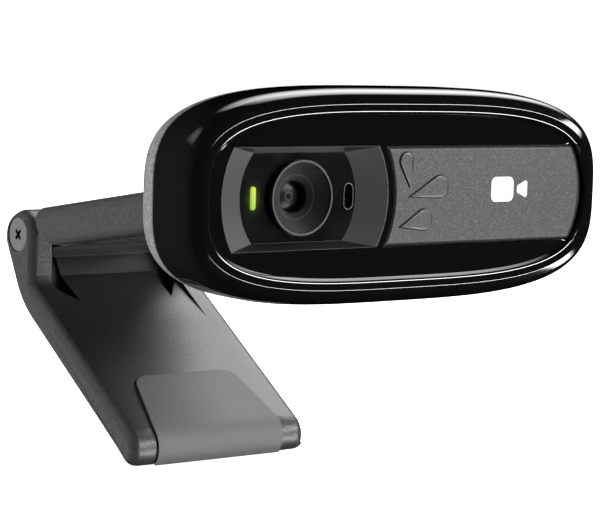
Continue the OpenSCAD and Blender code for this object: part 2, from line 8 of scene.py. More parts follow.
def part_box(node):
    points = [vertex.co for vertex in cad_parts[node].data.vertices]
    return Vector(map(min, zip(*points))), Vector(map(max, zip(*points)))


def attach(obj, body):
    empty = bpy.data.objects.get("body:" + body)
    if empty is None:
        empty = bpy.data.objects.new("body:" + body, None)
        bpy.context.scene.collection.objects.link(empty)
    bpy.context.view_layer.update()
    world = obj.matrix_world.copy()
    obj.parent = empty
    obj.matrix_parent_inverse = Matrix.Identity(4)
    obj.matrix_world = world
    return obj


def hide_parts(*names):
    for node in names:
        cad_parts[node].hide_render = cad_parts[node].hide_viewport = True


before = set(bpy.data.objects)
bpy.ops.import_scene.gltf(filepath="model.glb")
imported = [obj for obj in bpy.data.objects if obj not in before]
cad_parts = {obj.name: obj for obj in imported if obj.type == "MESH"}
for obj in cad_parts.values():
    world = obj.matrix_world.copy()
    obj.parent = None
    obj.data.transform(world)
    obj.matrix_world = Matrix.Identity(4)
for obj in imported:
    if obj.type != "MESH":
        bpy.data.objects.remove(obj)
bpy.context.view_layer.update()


# Front bezel: the glossy black front half of the head, injection moulded in ABS.
# Its face is dished inside a narrow lip, and its side swells out past the face.
# It has a window for the lens bowl, a pocket for the panel and posts for the screws.
MM = 0.001
bezel_low, bezel_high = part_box("front_bezel")
head_w = (bezel_high.x - bezel_low.x) / MM
head_h = (bezel_high.z - bezel_low.z) / MM
face_y = bezel_low.y / MM
head_z = (bezel_high.z + bezel_low.z) / 2 / MM
oval_power = 3.4
seam_y = 8.0
swell = 2.3
shell_wall = 1.6
lip = 1.1
dish = 0.5
band_half = 7.0
wall_back = 2.6
lens_x = -17.1
bowl_r = 14.1
panel_gap = 0.9
panel_t = 1.2
post_x = head_w / 2 - 5.4
board_posts = ((1.4, 6.2), (24, 6.2), (24, -6.2))
board_front = 9.6


def head_at(x, y, z):
    """A point of the head: x across, y back from the face, z up from its axis."""
    return (x, y + face_y, z + head_z)


def solid(name, points, faces):
    """A closed piece from points in millimetres, with its normals outwards."""
    mesh = bpy.data.meshes.new(name)
    mesh.from_pydata([Vector(p) * MM for p in points], [], faces)
    work = bmesh.new()
    work.from_mesh(mesh)
    bmesh.ops.remove_doubles(work, verts=work.verts, dist=1e-6)
    bmesh.ops.dissolve_degenerate(work, edges=work.edges, dist=1e-6)
    bmesh.ops.recalc_face_normals(work, faces=work.faces)
    work.to_mesh(mesh)
    work.free()
    piece = bpy.data.objects.new(name, mesh)
    bpy.context.scene.collection.objects.link(piece)
    return piece


def stack(name, loops, closed=False):
    """A skin over a row of loops with the same number of points."""
    n, rows = len(loops[0]), len(loops)
    faces = []
    for k in range(rows if closed else rows - 1):
        here, there = k * n, (k + 1) % rows * n
        faces += [(here + i, here + (i + 1) % n, there + (i + 1) % n, there + i) for i in range(n)]
    if not closed:
        faces += [tuple(range(n)), tuple(range((rows - 1) * n, rows * n))]
    return solid(name, [p for loop in loops for p in loop], faces)


def settle(piece):
    """Takes the result of a piece's modifiers as its mesh."""
    graph = bpy.context.evaluated_depsgraph_get()
    mesh = bpy.data.meshes.new_from_object(piece.evaluated_get(graph))
    old = piece.data
    piece.modifiers.clear()
    piece.data = mesh
    bpy.data.meshes.remove(old)
    mesh.name = piece.name
    return piece


def carve(piece, tools, operation="DIFFERENCE"):
    """Cuts the tools out of a piece, or joins them to it."""
    for tool in tools:
        step = piece.modifiers.new("carve", "BOOLEAN")
        step.object, step.operation, step.solver = tool, operation, "EXACT"
        settle(piece)
        bpy.data.objects.remove(tool)
    return piece


def soften(piece, width=0.0, segments=2, angle=50, sharp=40):
    """Rounds the hard edges by width in millimetres, and shades what is left smooth."""
    if width:
        step = piece.modifiers.new("soften", "BEVEL")
        step.width, step.segments = width * MM, segments
        step.limit_method, step.angle_limit = "ANGLE", radians(angle)
        settle(piece)
    piece.data.shade_smooth()
    piece.data.set_sharp_from_angle(angle=radians(sharp))
    step = piece.modifiers.new("even", "WEIGHTED_NORMAL")
    step.keep_sharp = True
    return settle(piece)


def fillet(points, radii, steps, closed=True):
    """A flat outline with its corners rounded to the given radii."""
    out = []
    n = len(points)
    for i, r in enumerate(radii):
        c = Vector(points[i])
        before, after = Vector(points[i - 1]) - c, Vector(points[(i + 1) % n]) - c
        u, v = before.normalized(), after.normalized()
        half = acos(max(-1, min(1, u.dot(v)))) / 2
        if not r or (not closed and i in (0, n - 1)) or abs(half - pi / 2) < 1e-3:
            out.append(tuple(c))
            continue
        reach = min(r / tan(half), 0.49 * before.length, 0.49 * after.length)
        centre = c + (u + v).normalized() * reach / cos(half)
        a, b = c + u * reach - centre, c + v * reach - centre
        start = atan2(a.y, a.x)
        turn = atan2(b.y, b.x) - start
        turn = (turn + pi) % (2 * pi) - pi
        for k in range(steps + 1):
            t = start + turn * k / steps
            out.append((centre.x + a.length * cos(t), centre.y + a.length * sin(t)))
    return out


def arc(cx, cz, r, start, end, n):
    """Points on an arc of a flat outline, angles in degrees."""
    angles = [radians(start + (end - start) * i / n) for i in range(n + 1)]
    return [(cx + r * cos(t), cz + r * sin(t)) for t in angles]


def ring(x, z, r, n):
    """A round outline of n points."""
    return arc(x, z, r, 0, 360 - 360 / n, n - 1)


def prism(name, outline, place, low, high):
    """A flat outline given thickness: place turns (a, b, depth) into a point."""
    return stack(name, [[place(a, b, d) for a, b in outline] for d in (low, high)])


def face_prism(name, outline, front, back):
    """An outline on the face, given depth from front to back."""
    return prism(name, outline, lambda a, b, d: head_at(a, d, b), front, back)


def oval_turns(count):
    """Angles that space points evenly along the head's oval."""
    fine = 4000
    run, lengths, last = 0.0, [0.0], None
    for i in range(fine + 1):
        x, z = oval_point(2 * pi * i / fine, head_w / 2, head_h / 2)
        if last:
            run += hypot(x - last[0], z - last[1])
            lengths.append(run)
        last = (x, z)
    turns, k = [], 0
    for i in range(count):
        want = run * i / count
        while lengths[k + 1] < want:
            k += 1
        share = (want - lengths[k]) / (lengths[k + 1] - lengths[k])
        turns.append(2 * pi * (k + share) / fine)
    return turns


def oval_point(turn, a, b):
    """A point of the head's oval with the half width a and the half height b."""
    c, s = cos(turn), sin(turn)
    power = 2 / oval_power
    return (a * copysign(abs(c) ** power, c), b * copysign(abs(s) ** power, s))


head_turns = oval_turns(240)


def oval_loop(y, a, b):
    return [head_at(x, y, z) for x, z in (oval_point(t, a, b) for t in head_turns)]


def inset_loop(y, inset):
    return oval_loop(y, head_w / 2 - inset, head_h / 2 - inset)


def flowing(points, steps=4):
    """More points on a smooth curve through the given ones."""
    out = []
    ends = [points[0], *points, points[-1]]
    for i in range(1, len(ends) - 2):
        p0, p1, p2, p3 = (Vector(q) for q in ends[i - 1:i + 3])
        for k in range(steps):
            t = k / steps
            out.append(tuple(0.5 * (2 * p1 + (p2 - p0) * t + (2 * p0 - 5 * p1 + 4 * p2 - p3) * t * t
                                    + (3 * p1 - p0 - 3 * p2 + p3) * t ** 3)))
    return out + [tuple(points[-1])]


def bowl_outline(grow):
    """The bowl's circle, cut off flat above and below."""
    r, half = bowl_r + grow, band_half + grow
    reach = degrees(asin(half / r))
    return arc(lens_x, 0, r, -reach, reach, 40) + arc(lens_x, 0, r, 180 - reach, 180 + reach, 40)


def panel_outline(shrink):
    """Panel: hollow end beside the bowl, round end at the right of the face."""
    half = band_half - shrink
    right = head_w / 2 - swell - 0.7 - 2.2 * shrink
    end_r = 12.8
    hollow_r = bowl_r + panel_gap + shrink
    reach = degrees(asin(half / hollow_r))
    bulge = degrees(asin(half / end_r))
    return arc(lens_x, 0, hollow_r, reach, -reach, 40) + arc(right - end_r, 0, end_r, -bulge, bulge, 40)


def screw_post(x, z, r, top, hole):
    """A hollow post for a screw, rooted in the wall behind the face."""
    post = face_prism("post", ring(x, z, r, 40), wall_back - 0.3, top)
    bore = face_prism("bore", ring(x, z, hole, 18), wall_back + 0.6, top + 1)
    return carve(post, [bore])


def tree_node(tree, kind, sockets={}, **settings):
    """The outputs of a new node, with its settings and its sockets set or linked."""
    node = tree.nodes.new(kind)
    for name, value in settings.items():
        setattr(node, name, value)
    for name, value in sockets.items():
        if isinstance(value, bpy.types.NodeSocket):
            tree.links.new(value, node.inputs[name])
        else:
            node.inputs[name].default_value = value
    return node.outputs


def finish_of(name, colour, roughness, **more):
    """A new material, with its Principled shader and its Object coordinates."""
    material = bpy.data.materials.new(name)
    material.use_nodes = True
    shader = material.node_tree.nodes["Principled BSDF"]
    for socket, value in dict(Base_Color=(*colour, 1), Roughness=roughness, **more).items():
        shader.inputs[socket.replace("_", " ")].default_value = value
    return material, shader, tree_node(material.node_tree, "ShaderNodeTexCoord")["Object"]


def grain(where, scale, detail=3.0, roughness=0.5):
    """Noise at a scale given as grains to the millimetre."""
    return tree_node(where.id_data, "ShaderNodeTexNoise", {
        "Vector": where, "Scale": scale / MM, "Detail": detail, "Roughness": roughness})["Fac"]


def between(factor, low, high, start=0.3, end=0.7):
    """Turns a pattern into a number between low and high."""
    return tree_node(factor.id_data, "ShaderNodeMapRange", {
        "Value": factor, "From Min": start, "From Max": end, "To Min": low, "To Max": high})["Result"]


def tinted(factor, stops):
    """Turns a pattern into a colour."""
    ramp = factor.id_data.nodes.new("ShaderNodeValToRGB")
    factor.id_data.links.new(factor, ramp.inputs["Fac"])
    elements = ramp.color_ramp.elements
    while len(elements) < len(stops):
        elements.new(0.5)
    for element, (at, colour) in zip(elements, stops):
        element.position, element.color = at, (*colour, 1)
    return ramp.outputs["Color"]


def link(out, shader, socket):
    """Leads a pattern to a socket of the shader."""
    shader.id_data.links.new(out, shader.inputs[socket])


def bumped(shader, height, depth, strength=1.0):
    """Lets a pattern stand up by a depth in millimetres."""
    link(tree_node(shader.id_data, "ShaderNodeBump", {
        "Height": height, "Distance": depth * MM, "Strength": strength})["Normal"], shader, "Normal")


def moulded(name, colour, roughness, scale, depth, contrast=0.12, **more):
    """Textured plastic: fine spark-eroded grain, slightly uneven in colour and sheen."""
    material, shader, where = finish_of(name, colour, roughness, **more)
    fine = grain(where, scale)
    broad = grain(where, scale / 60, 2.0)
    dark = tuple(c * (1 - contrast) for c in colour)
    light = tuple(c * (1 + contrast) for c in colour)
    link(tinted(fine, [(0.3, dark), (0.7, light)]), shader, "Base Color")
    link(between(broad, roughness * 0.9, roughness * 1.1), shader, "Roughness")
    bumped(shader, fine, depth)
    return material


def fitted(piece, material, body, slot, *nodes):
    """Gives a piece its finish and its body, and hides the CAD nodes it stands for; slot is not used."""
    piece.data.materials.clear()
    for one in material if isinstance(material, list) else [material]:
        piece.data.materials.append(one)
    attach(piece, body)
    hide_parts(*nodes)


dish_edge = swell + lip
swell_curve = [(4.2, 0), (3.2, 0.04), (2.6, 0.115), (1.9, 0.25), (1.2, 0.46), (0.8, 0.69), (0.5, 0.97),
               (0.25, 1.45)]
face_curve = fillet([swell_curve[-1], (0, swell), (0, dish_edge), (dish, dish_edge + 0.48),
                     (dish, dish_edge + 3.2)], [0, 0.35, 0.7, 0, 0], 7, False)
bezel_curve = [(seam_y, 0.16), (seam_y - 0.16, 0), (6, 0)] + flowing(swell_curve) + face_curve[1:]
bezel = stack("glossy_bezel", [inset_loop(y, inset) for y, inset in bezel_curve])
cavity = stack("cavity", [inset_loop(y, inset) for y, inset in (
    (wall_back, swell + shell_wall), (4.4, shell_wall), (seam_y + 1, shell_wall))])
window = face_prism("window", bowl_outline(0), -1, wall_back + 1)
pocket = face_prism("pocket", panel_outline(0), -1, dish + panel_t)
carve(bezel, [cavity, window, pocket])
soften(bezel, 0.09)
posts = [screw_post(x, 0, 2.4, seam_y, 0.85) for x in (-post_x, post_x)]
posts += [screw_post(x, z, 1.8, board_front, 0.7) for x, z in board_posts]
carve(bezel, posts, "UNION")

gloss_black, gloss_shader, gloss_where = finish_of("gloss_black", (0.0035, 0.0035, 0.004), 0.05,
                                                   Coat_Weight=0.25, Coat_Roughness=0.02)
haze = grain(gloss_where, 0.12, 4.0)
link(between(haze, 0.035, 0.075), gloss_shader, "Roughness")
orange_peel = grain(gloss_where, 0.5, 1.0)
bumped(gloss_shader, orange_peel, 0.0006)
fitted(bezel, gloss_black, "head", "gloss_black", "front_bezel")


# Rear shell: the matte grey back half of the head, moulded in ABS with a fine grain.
# It has a crowned back, two lugs for the neck's pin, a seat for the cable grommet
# and two deep holes for the screws that pull it against the bezel.
edge_r = 7.2
edge_turn = radians(50)
crown_y = seam_y + edge_r * sin(edge_turn)
crown_inset = edge_r * (1 - cos(edge_turn))
back_y = 19.9
grommet_x = 18.0
grommet_seat = back_y - 3
case_seat = seam_y + 3.4
tilt_y = 24.0
tilt_pin_r = 1.2
eye_r = 3.0
neck_half = 3.5
lug_gap = 0.3
lug_w = 2.6


def crown_loops(wall):
    """The turned edge and the crowned back, at a depth under the surface."""
    loops = []
    r = edge_r - wall
    for i in range(1, 13):
        t = edge_turn * i / 12
        loops.append(inset_loop(seam_y + r * sin(t), wall + r * (1 - cos(t))))
    for i in range(1, 25):
        s = 1 - i / 24.5
        y = crown_y + (back_y - crown_y) * (1 - s * s) - wall
        inset = crown_inset + wall
        loops.append(oval_loop(y, s * (head_w / 2 - inset), s * (head_h / 2 - inset)))
    return loops


def head_rod(name, r, x, z, front, back, n=48):
    """A round bar of the head, from front to back at (x, z)."""
    return face_prism(name, ring(x, z, r, n), front, back)


def side_on(place):
    """The same place for an outline seen from the side, given width along X."""
    return lambda a, b, d: place(d, a, b)


def across(name, r, at, low, high, place, n=64):
    """A round bar along X, at (y, z) of the place it belongs to."""
    return prism(name, ring(*at, r, n), side_on(place), low, high)


back = stack("matte_back_shell", [inset_loop(seam_y, 0.12), inset_loop(seam_y + 0.12, 0)]
             + crown_loops(0)[1:])
hollow = stack("hollow", [inset_loop(y, shell_wall) for y in (seam_y - 1, seam_y)]
               + crown_loops(shell_wall))
carve(back, [hollow])
added = [head_rod("boss", 2.6, x, 0, seam_y, case_seat + 0.8) for x in (-post_x, post_x)]
added.append(head_rod("seat", 3.6, grommet_x, 0, grommet_seat - 2.4, grommet_seat))
lug_root = back_y - shell_wall
lug_outline = [(lug_root, -eye_r), (tilt_y, -eye_r), *arc(tilt_y, 0, eye_r, -80, 80, 24),
               (tilt_y, eye_r), (lug_root, eye_r)]
lug_in = neck_half + lug_gap
for low, high in ((-lug_in - lug_w, -lug_in), (lug_in, lug_in + lug_w)):
    added.append(prism("lug", lug_outline, side_on(head_at), low, high))
carve(back, added, "UNION")
holes = [head_rod("hole", 1.1, x, 0, seam_y - 1, case_seat + 1) for x in (-post_x, post_x)]
holes += [head_rod("counterbore", 1.9, x, 0, case_seat, back_y) for x in (-post_x, post_x)]
holes += [head_rod("cable_hole", 2.4, grommet_x, 0, grommet_seat - 5, back_y),
          head_rod("grommet_hole", 3.5, grommet_x, 0, grommet_seat, back_y + 2),
          across("pin_hole", tilt_pin_r, (tilt_y, 0), -12, 12, head_at)]
carve(back, holes)
soften(back, 0.15, 2, 48, 42)
grey_shell = moulded("grey_shell", (0.105, 0.105, 0.108), 0.42, 2.6, 0.07, 0.5)
fitted(back, grey_shell, "head", "grey_shell", "rear_shell")


# Face panel: a thin plate printed with dark metal flake lacquer, glued in the pocket.
# Its edge is bevelled, and three raised drops stand on its left end.
panel_front = dish + 0.05
panel_back = dish + panel_t


def drop_outline(x, z, turn, length, r, shrink):
    """Flat drop, round at one end and pointed at the other."""
    round_end = arc(length / 2 - r, 0, r - shrink, -110, 110, 28)
    outline = round_end + [(2 * shrink - length / 2, 0)]
    c, s = cos(radians(turn)), sin(radians(turn))
    return [(x + a * c - b * s, z + a * s + b * c) for a, b in outline]


def layered(name, levels, outline):
    """A plate on the face whose outline draws in by steps of (depth, shrink)."""
    return stack(name, [[head_at(a, y, b) for a, b in outline(shrink)] for y, shrink in levels])


plate = layered("flake_panel_plate", [
    (panel_back, 0.1), (panel_front + 0.34, 0.1), (panel_front + 0.28, 0.16), (panel_front + 0.02, 0.5),
    (panel_front, 0.6)], panel_outline)
drop_sizes = ((0.2, 3.6, 100, 5.2, 1.35), (4.1, 0.7, 14, 7.6, 1.7), (1.9, -3.7, 12, 6.3, 1.6))
drop_levels = [(panel_front - up, shrink) for up, shrink in (
    (-0.3, 0), (0.02, 0), (0.12, 0.06), (0.2, 0.2), (0.17, 0.36), (0.1, 0.5))]
carve(plate, [layered("drop", drop_levels, lambda shrink, sizes=sizes: drop_outline(*sizes, shrink))
              for sizes in drop_sizes], "UNION")


def corners(left, right, low, high):
    return [(left, low), (right, low), (right, high), (left, high)]


def sign_outline(shrink):
    """Plain camera sign: a rounded body and a lens cone beside it."""
    x, z, half_w, half_h = head_w / 2 - 17.6, 0.6, 3.5, 1.82
    body_end, cone_start = 0.84, 1.44
    body = corners(-half_w, body_end, -half_h, half_h)
    cone = [(cone_start, -0.5), (half_w, 0.4 - half_h), (half_w, half_h - 0.4), (cone_start, 0.5)]
    shapes = []
    for shape, radii in ((body, (0.9,) * 4), (cone, (0.2, 0.35, 0.35, 0.2))):
        centre = sum(a for a, b in shape) / len(shape)
        smaller = [(a + copysign(shrink, centre - a), b - copysign(shrink, b)) for a, b in shape]
        shapes.append([(a + x, b + z) for a, b in fillet(smaller, radii, 6)])
    return shapes


sign_t = 0.3
carve(plate, [face_prism("sign_recess", s, dish - 1, panel_front + sign_t) for s in sign_outline(0)])
soften(plate, sharp=32)

flake_lacquer, flake_shader, flake_where = finish_of("flake_lacquer", (0.1, 0.1, 0.105), 0.42, Metallic=0.6,
                                                     Coat_Weight=0.12, Coat_Roughness=0.25)
flakes_per_mm = 8.0
flakes = tree_node(flake_where.id_data, "ShaderNodeTexVoronoi", {
    "Vector": flake_where, "Scale": flakes_per_mm / MM})["Color"]
split = tree_node(flake_where.id_data, "ShaderNodeSeparateColor", {"Color": flakes})
link(tinted(split["Red"], [
    (0.0, (0.026, 0.027, 0.028)), (0.6, (0.04, 0.041, 0.043)), (0.95, (0.062, 0.063, 0.065)),
    (1.0, (0.1, 0.1, 0.103))]), flake_shader, "Base Color")
link(between(split["Green"], 0.4, 0.48, 0, 1), flake_shader, "Roughness")
bumped(flake_shader, split["Blue"], 0.006, 0.35)
fitted(plate, flake_lacquer, "head", "flake_panel", "face_panel")


# Camera sign: two plain shapes of white plastic, a camera's body and its lens,
# inlaid flush in the panel.
sign, lens_sign = (face_prism("camera_sign_inlay", s, panel_front - 0.02, panel_front + sign_t)
                   for s in sign_outline(0.03))
carve(sign, [lens_sign], "UNION")
soften(sign, 0.05)
sign_white = moulded("sign_white", (0.82, 0.82, 0.83), 0.45, 4.0, 0.003, 0.03)
fitted(sign, sign_white, "head", "sign_white", "panel_sign")


# Lens bowl: a round recess with sloped satin walls, cut off flat above and below,
# and a glossy black floor. It has slots for the light and for the microphone.
bowl_y = 2.5
bowl_back = 3.8
floor_r = 9.7
hood_r = 5.2
light_slot = (lens_x - 7.5, 0.9, 3.2)
sound_slot = (lens_x + 8.5, 1.4, 3.4)
rim_w = 0.14


def slot_outline(x, w, h, grow=0.0):
    """An upright slot with round ends."""
    r, rise = w / 2 + grow, (h - w) / 2
    return arc(x, rise, r, 0, 180, 14) + arc(x, -rise, r, 180, 360, 14)


def round_turns(n):
    return [2 * pi * i / n for i in range(n)]


def turned(name, outline, x, n=128):
    """A turned piece about an axis along Y, from a closed outline of (radius, depth)."""
    loops = [[head_at(x + r * cos(t), y, r * sin(t)) for r, y in outline] for t in round_turns(n)]
    return stack(name, loops, closed=True)


def centred(where, middle, reach=None):
    """Coordinates about a point of the object, measured by the given reach."""
    sockets = {"Vector": where, "Location": Vector(middle) * MM}
    if reach:
        sockets["Scale"] = Vector(reach) * MM
    return tree_node(where.id_data, "ShaderNodeMapping", sockets, vector_type="TEXTURE")["Vector"]


def ball(where, middle, reach):
    """A pattern that falls from one at a point to nothing at its reach."""
    return tree_node(where.id_data, "ShaderNodeTexGradient", {
        "Vector": centred(where, middle, reach)}, gradient_type="SPHERICAL")["Fac"]


bowl = face_prism("bowl_insert", bowl_outline(-0.08), dish + 0.02, bowl_back)
cone_r, proud, past = bowl_r - 0.15, 0.5, 1
cone_slope = (cone_r - floor_r) / (bowl_y - dish)
cone = stack("cone", [[head_at(lens_x + r * cos(t), y, r * sin(t)) for t in round_turns(160)]
                      for y, r in ((dish - proud, cone_r + proud * cone_slope), (bowl_y, floor_r))])
ramp_front, ramp_back = band_half - 0.12, band_half - 0.95
ramp_slope = (ramp_front - ramp_back) / (bowl_y - dish)
ramp = [(dish - past, ramp_front + past * ramp_slope), (bowl_y + past, ramp_back - past * ramp_slope)]
wedge = stack("wedge", [[head_at(x, y, z) for x, z in corners(lens_x - 18, lens_x + 18, -h, h)]
                        for y, h in ramp])
carve(cone, [wedge], "INTERSECT")
carve(bowl, [cone])
slot_rim = face_prism("slot_rim", slot_outline(*sound_slot, rim_w), bowl_y - 0.1, bowl_y + 0.4)
carve(bowl, [slot_rim], "UNION")
carve(bowl, [head_rod("hood_hole", hood_r + 0.1, lens_x, 0, bowl_y - 1, bowl_back + 1, 96),
             face_prism("light_slot", slot_outline(*light_slot, 0.04), bowl_y - 1, bowl_back + 1),
             face_prism("microphone_slot", slot_outline(*sound_slot), bowl_y - 1, bowl_y + 0.6),
             head_rod("sound_hole", 0.4, sound_slot[0], 0, bowl_y, bowl_back + 1, 20),
             head_rod("post_room", 2.5, -post_x, 0, wall_back - 0.5, bowl_back + 1)])
soften(bowl, 0.07, 2, 20, 60)

satin_wall = moulded("satin_wall", (0.034, 0.035, 0.037), 0.5, 3.2, 0.006, 0.06)
# Painted shade: the bowl's flat top and bottom ramps get a darker copy of the satin wall's plastic, chosen by
# the way they face.
ramp_with_painted_shade = moulded("ramp_with_painted_shade", (0.012, 0.012, 0.013), 0.38, 3.2, 0.004, 0.08)
bowl_floor, floor_shader, floor_where = finish_of("bowl_floor", (0.004, 0.004, 0.0045), 0.12,
                                                  Emission_Strength=1.0)
link(between(grain(floor_where, 0.3), 0.1, 0.16), floor_shader, "Roughness")
# Painted light: a green glow painted as emission on the black floor round the light slot, where the status
# light spills onto it.
led_spill_painted_light = ball(floor_where, head_at(light_slot[0], bowl_y, 0), (1.9, 2.5, 3.1))
link(tinted(led_spill_painted_light, [
    (0.0, (0, 0, 0)), (0.35, (0.004, 0.008, 0.0)), (0.7, (0.035, 0.06, 0.004)), (1.0, (0.14, 0.22, 0.02))]),
    floor_shader, "Emission Color")
fitted(bowl, [satin_wall, bowl_floor, ramp_with_painted_shade], "head", "satin_black", "lens_bowl")
# Floor faces take the glossy floor finish; faces that look up or down, the ramps, take the copy darkened with
# painted shade.
for polygon in bowl.data.polygons:
    depth = polygon.center.y / MM - face_y
    from_slot = abs(polygon.center.x / MM - sound_slot[0])
    slot_edge = from_slot < 0.9 and abs(polygon.normal.y) < 0.9 and depth < bowl_y + 0.12
    if depth > bowl_y - 0.02 and not slot_edge:
        polygon.material_index = 1
    elif abs(polygon.normal.z) > 0.8:
        polygon.material_index = 2


# Lens hood: a dark stepped cone, pressed into the hole in the bowl's floor.
# Its side shows at the left, and its fine-turned cone leads down to the glass.
hood_y = bowl_y - 1.0
hood_back = hood_y + 3.1
hood_steps = [(hood_r, 0.2), (hood_r - 0.12, 0), (hood_r - 0.4, 0.02), (hood_r - 0.5, 0.22), (3.12, 1.55),
              (2.98, 1.62), (2.8, 1.75), (2.25, 2.2), (2.15, 2.5), (2.15, 3.1), (hood_r, 3.1)]
hood_outline = fillet([(r, hood_y + depth) for r, depth in hood_steps],
                      [0.06, 0.06, 0.05, 0.05, 0.04, 0.04, 0.04, 0.05, 0, 0, 0], 3)
hood = turned("stepped_hood", hood_outline, lens_x)
soften(hood, sharp=50)
hood_black, hood_shader, hood_where = finish_of("hood_black", (0.016, 0.016, 0.017), 0.5)
speck = grain(centred(hood_where, head_at(lens_x, 0, 0)), 4.0, 4.0, 0.6)
link(tinted(speck, [(0.3, (0.006, 0.006, 0.0065)), (0.72, (0.022, 0.022, 0.023))]),
     hood_shader, "Base Color")
link(between(speck, 0.42, 0.6), hood_shader, "Roughness")
bumped(hood_shader, speck, 0.02)
fitted(hood, hood_black, "head", "hood_black", "lens_hood")


# Front lens: coated glass with a domed front, ground and polished, and dropped in
# behind the hood. A thin grey ring lies round its dark pupil.
glass_r, glass_front, glass_back, dome = 2.6, hood_back + 0.05, hood_back + 1.1, 0.5
glass_outline = [(0.001, glass_front)]
glass_outline += [(glass_r * i / 12, glass_front + dome * (i / 12) ** 2) for i in range(1, 13)]
glass_outline += [(glass_r, glass_back), (0.001, glass_back)]
front_glass = turned("front_glass", glass_outline, lens_x, 96)
soften(front_glass)
lens_coating, coating_shader, coating_where = finish_of("lens_coating", (0.02, 0.02, 0.03), 0.3, IOR=1.2)
rings = ball(coating_where, head_at(lens_x, hood_back, 0), (glass_r, 3 * glass_r, glass_r))
link(tinted(rings, [
    (0.2, (0.004, 0.004, 0.005)), (0.72, (0.007, 0.007, 0.008)), (0.8, (0.06, 0.06, 0.064)),
    (0.86, (0.001, 0.001, 0.001))]), coating_shader, "Base Color")
fitted(front_glass, lens_coating, "head", "lens_glass", "front_lens")


# Light pipe: a clear yellow-green bar that carries the status light to its slot.
# It is lit, yellower at its top and greener below.
pipe_x, pipe_w, pipe_h = light_slot
pipe_back = board_front - 0.9
pipe_levels = [(pipe_back, 0.05), (bowl_y, 0.05), (bowl_y - 0.1, 0.09), (bowl_y - 0.15, 0.2)]
pipe = layered("lit_light_pipe", pipe_levels, lambda k: slot_outline(pipe_x, pipe_w, pipe_h, -k))
soften(pipe, sharp=50)
lit_green, lit_shader, lit_where = finish_of("lit_green", (0.12, 0.16, 0.03), 0.3, Emission_Strength=1.0)
height = tree_node(lit_where.id_data, "ShaderNodeSeparateXYZ", {"Vector": lit_where})["Z"]
height = between(height, 0, 1, (head_z - pipe_h / 2) * MM, (head_z + pipe_h / 2) * MM)
link(tinted(height, [(0.0, (0.2, 0.42, 0.03)), (0.45, (0.36, 0.52, 0.04)),
                                           (1.0, (0.5, 0.56, 0.06))]), lit_shader, "Emission Color")
fitted(pipe, lit_green, "head", "led_green", "light_pipe")


# Arm: the upper half of the clip, moulded in grained black ABS. Its sides are full
# and round, its rear end is cut back under the hinge and carries the knuckle.
# Its front end draws in to a round seat for the neck, with a lip below.
pin_low, pin_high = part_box("hinge_pin")
hinge = (pin_low + pin_high) / 2 / MM
arm_slope = radians(9.2)
leg_slope = radians(33)
clip_half = 16.5
arm_top = 3.8
arm_low = -2.4
swivel_s = 43.56
arm_end_r = 8.0
rest_at = 24.0
ear_r = 4.0
knuckle_half = 11.4


def arm_at(x, s, p):
    """A point of the arm: s forward along it from the hinge, p square to it."""
    y, z = -s, p
    c, k = cos(arm_slope), sin(arm_slope)
    return (x, hinge.y + y * c + z * k, hinge.z - y * k + z * c)


def leg_at(x, u, p):
    """A point of the leg: u down along it from the hinge, p out from its front."""
    y, z = -u, p
    c, k = cos(leg_slope), sin(leg_slope)
    return (x, hinge.y + y * c - z * k, hinge.z + y * k + z * c)


def arm_half_width(s):
    if s > swivel_s + 1:
        return sqrt(max(arm_end_r ** 2 - (s - swivel_s) ** 2, 0.0004))
    return clip_half - max(0.0, (s - 38) / (swivel_s + 1 - 38)) * (clip_half - arm_end_r)


def arm_section(s):
    """One section across the arm, round at its sides, fuller above than below."""
    rear = max(0.0, 1 - (s - 5.6) / 1.1)
    heel = max(0.0, 1 - (s - 5.6) / 4.6)
    top = arm_top - 1.1 * (1 - sqrt(1 - rear ** 2))
    low = arm_low + 3.9 * (1 - sqrt(1 - heel ** 2.2))
    half = arm_half_width(s) - 0.5 * (1 - sqrt(1 - rear ** 2))
    high_r, low_r, side = 2.3, 1.5, 1.5
    scale = min(1.0, (top - low) / 4.2, half / 3)
    high_r, low_r, side = high_r * scale, low_r * scale, side * scale
    upper = [radians(90 * i / 10) for i in range(11)]
    lower = [radians(90 * i / 8) for i in range(1, 9)]
    loop = [(half - side + side * sin(t), top - high_r + high_r * cos(t)) for t in upper]
    loop += [(half - side + side * cos(t), low + low_r - low_r * sin(t)) for t in lower]
    loop += [(-x, z) for x, z in reversed(loop)]
    return [arm_at(x, s, z) for x, z in loop]


stations = [5.6, 5.65, 5.75, 5.9, 6.1, 6.4, 6.8, 7.3, 7.9, 8.6, 9.4, 10.2, 14, 18, 22, 26, 30, 34, 37, 38]
stations += [38 + 0.8 * i for i in range(1, 9)] + [swivel_s + 1 + 0.7 * i for i in range(1, 9)]
stations += [swivel_s + more for more in (7.0, 7.4, 7.7, 7.9, 8)]
arm = stack("clip_arm", [arm_section(s) for s in stations])
web = [(0, arm_low), (0, ear_r - 0.3), (11, arm_top), (11, arm_low)]
lip_outline = arc(0, swivel_s, arm_end_r - 0.1, 62, 118, 14) + [(x, swivel_s + 5.6) for x in (-3.75, 3.75)]
joined = [across("knuckle", ear_r - 0.3, (0, 0), -knuckle_half, knuckle_half, arm_at, 96),
          prism("web", web, side_on(arm_at), -knuckle_half, knuckle_half),
          prism("tip_lip", lip_outline, arm_at, arm_low - 4, arm_low + 1)]
carve(arm, joined, "UNION")
grip_recess = corners(-12, 12, rest_at - 9, rest_at + 9)
post_hole, washer_hole = (arc(0, swivel_s, r, 0, 352, 45) for r in (2.45, 4))
